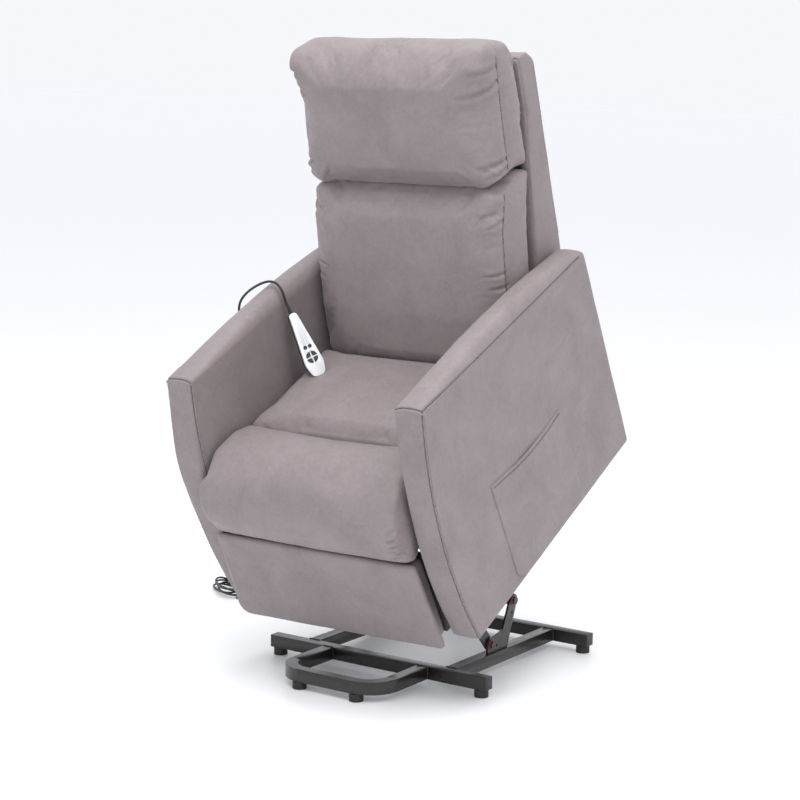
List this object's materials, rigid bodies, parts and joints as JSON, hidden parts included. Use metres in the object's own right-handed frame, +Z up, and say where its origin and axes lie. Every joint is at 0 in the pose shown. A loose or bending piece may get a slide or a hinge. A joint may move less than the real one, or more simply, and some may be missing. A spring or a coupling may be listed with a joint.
{
  "type": "lift recliner chair",
  "caption": "Padded riser recliner armchair on a steel lift base, with lift linkage, folding footrest, reclining back and corded handset.",
  "frame": {"origin": "on the floor, under the middle of the chair in its raised pose", "axes": "+Z up, +X towards the sitter's left, -Y the way the sitter faces"},
  "size_m": [1.196, 0.8988, 1.4766],
  "materials": {
    "painted_steel": "satin dark brown powder coat",
    "linkage_steel": "satin black powder coat",
    "zinc_steel": "zinc plated",
    "bush_plastic": "moulded red-brown plastic",
    "black_plastic": "moulded black plastic",
    "foot_rubber": "moulded rubber",
    "drive_casing": "moulded black plastic",
    "upholstery": "taupe suede-look cover over padding",
    "backing_cloth": "black backing cloth",
    "webbing": "woven elastic strap",
    "frame_wood": "planed softwood and board",
    "white_gloss": "gloss white plastic",
    "dark_gloss": "gloss black plastic",
    "button_grey": "soft dark grey plastic",
    "cord_jacket": "black flexible cord jacket"
  },
  "bodies": {
    "base": {"front_crossbar": "painted_steel", "rear_crossbar": "painted_steel", "left_rail": "painted_steel", "right_rail": "painted_steel", "front_loop": "painted_steel", "base_feet": "foot_rubber", "bar_end_caps": "black_plastic", "left_lift_bracket": "painted_steel", "right_lift_bracket": "painted_steel", "pivot_bushes": "bush_plastic", "lift_pivot_bolts": "zinc_steel", "lift_motor_bracket": "painted_steel", "power_supply": "black_plastic", "cord_gland": "black_plastic", "power_cord": "cord_jacket", "power_cord_hank": "cord_jacket", "power_cord_tail": "cord_jacket", "mains_plug": "black_plastic"},
    "lower_link": {"lower_lift_links": "linkage_steel"},
    "upper_link": {"upper_lift_links": "linkage_steel"},
    "lift_motor": {"lift_drive": "drive_casing"},
    "lift_rod": {"lift_drive_rod": "zinc_steel"},
    "chassis": {"left_side_plate": "linkage_steel", "right_side_plate": "linkage_steel", "front_cross_tube": "linkage_steel", "rear_cross_tube": "linkage_steel", "seat_frame": "frame_wood", "seat_webbing": "webbing", "seat_cushion": "upholstery", "seat_front_roll": "upholstery", "left_arm": "upholstery", "right_arm": "upholstery", "side_pocket": "upholstery", "control_box": "black_plastic", "footrest_drive": "drive_casing", "back_drive": "drive_casing", "handset_front": "white_gloss", "handset_back": "dark_gloss", "handset_cord_collar": "black_plastic", "handset_cord": "cord_jacket"},
    "footrest_arm": {"footrest_arm_links": "linkage_steel"},
    "footrest_long": {"footrest_long_links": "linkage_steel"},
    "footrest_guide": {"footrest_guide_links": "linkage_steel"},
    "footrest": {"footrest_board": "frame_wood", "footrest_hangers": "linkage_steel", "footrest_pad": "upholstery"},
    "footrest_rod": {"footrest_drive_rod": "zinc_steel"},
    "back": {"back_shell": "upholstery", "back_frame": "linkage_steel", "back_webbing": "webbing", "lower_back_cushion": "upholstery", "head_cushion": "upholstery"},
    "back_rod": {"back_drive_rod": "zinc_steel"},
    "oval_button_1": {"button_oval_1": "button_grey"},
    "oval_button_2": {"button_oval_2": "button_grey"},
    "ring_button_1": {"button_ring_1": "button_grey"},
    "ring_button_2": {"button_ring_2": "button_grey"},
    "ring_button_3": {"button_ring_3": "button_grey"},
    "ring_button_4": {"button_ring_4": "button_grey"}
  },
  "joints": [
    {"name": "lift", "type": "hinge", "parent": "base", "child": "lower_link", "pos_m": [0, 0.07, 0.0689], "axis": [1, 0, 0], "range_deg": [0, 33.94]},
    {"name": "chair_tilt", "type": "hinge", "parent": "lower_link", "child": "chassis", "pos_m": [0, -0.13393, 0.29575], "axis": [1, 0, 0], "range_deg": [-62.52, 0]},
    {"name": "upper_link_turn", "type": "hinge", "parent": "base", "child": "upper_link", "pos_m": [0, 0.1648, 0.1564], "axis": [1, 0, 0], "range_deg": [0, 33.02]},
    {"name": "lift_drive_turn", "type": "hinge", "parent": "base", "child": "lift_motor", "pos_m": [0, 0.3565, 0.075], "axis": [1, 0, 0], "range_deg": [0, 24.59]},
    {"name": "lift_rod_slide", "type": "slide", "parent": "lift_motor", "child": "lift_rod", "axis": [0, -0.7551, 0.6556], "range_m": [-0.05888, 0]},
    {"name": "footrest_swing", "type": "hinge", "parent": "chassis", "child": "footrest_arm", "pos_m": [0, -0.17422, 0.40747], "axis": [-1, 0, 0], "range_deg": [0, 134.68]},
    {"name": "footrest_knee", "type": "hinge", "parent": "footrest_arm", "child": "footrest_long", "pos_m": [0, 0.01303, 0.37524], "axis": [-1, 0, 0], "range_deg": [-107.17, 0]},
    {"name": "footrest_tilt", "type": "hinge", "parent": "footrest_long", "child": "footrest", "pos_m": [0, -0.16166, 0.3005], "axis": [-1, 0, 0], "range_deg": [0, 57.49]},
    {"name": "footrest_guide_turn", "type": "hinge", "parent": "chassis", "child": "footrest_guide", "pos_m": [0, -0.14486, 0.44162], "axis": [-1, 0, 0], "range_deg": [0, 139.22]},
    {"name": "footrest_rod_slide", "type": "slide", "parent": "chassis", "child": "footrest_rod", "axis": [0, -0.8788, -0.4772], "range_m": [0, 0.08912]},
    {"name": "back_recline", "type": "hinge", "parent": "chassis", "child": "back", "pos_m": [0, 0.23944, 0.74586], "axis": [-1, 0, 0], "range_deg": [0, 38]},
    {"name": "back_rod_slide", "type": "slide", "parent": "chassis", "child": "back_rod", "axis": [0, -0.8788, -0.4772], "range_m": [0, 0.05585]},
    {"name": "oval_press_1", "type": "slide", "parent": "chassis", "child": "oval_button_1", "axis": [-0.7712, 0.5944, -0.2279], "range_m": [0, 0.001], "stiffness_N_per_m": 600},
    {"name": "oval_press_2", "type": "slide", "parent": "chassis", "child": "oval_button_2", "axis": [-0.7712, 0.5944, -0.2279], "range_m": [0, 0.001], "stiffness_N_per_m": 600},
    {"name": "ring_press_1", "type": "slide", "parent": "chassis", "child": "ring_button_1", "axis": [-0.7712, 0.5944, -0.2279], "range_m": [0, 0.001], "stiffness_N_per_m": 600},
    {"name": "ring_press_2", "type": "slide", "parent": "chassis", "child": "ring_button_2", "axis": [-0.7712, 0.5944, -0.2279], "range_m": [0, 0.001], "stiffness_N_per_m": 600},
    {"name": "ring_press_3", "type": "slide", "parent": "chassis", "child": "ring_button_3", "axis": [-0.7712, 0.5944, -0.2279], "range_m": [0, 0.001], "stiffness_N_per_m": 600},
    {"name": "ring_press_4", "type": "slide", "parent": "chassis", "child": "ring_button_4", "axis": [-0.7712, 0.5944, -0.2279], "range_m": [0, 0.001], "stiffness_N_per_m": 600}
  ],
  "couplings": [
    {"joint": "chair_tilt", "follows": "lift", "ratio": -1.839},
    {"joint": "upper_link_turn", "follows": "lift", "ratio": 0.97},
    {"joint": "lift_drive_turn", "follows": "lift", "ratio": 0.72156},
    {"joint": "lift_rod_slide", "follows": "lift", "m_per_rad": -0.098558},
    {"joint": "footrest_knee", "follows": "footrest_swing", "ratio": -0.795},
    {"joint": "footrest_tilt", "follows": "footrest_swing", "ratio": 0.4261},
    {"joint": "footrest_guide_turn", "follows": "footrest_swing", "ratio": 1.033},
    {"joint": "footrest_rod_slide", "follows": "footrest_swing", "m_per_rad": 0.0377},
    {"joint": "back_rod_slide", "follows": "back_recline", "m_per_rad": 0.08346}
  ]
}
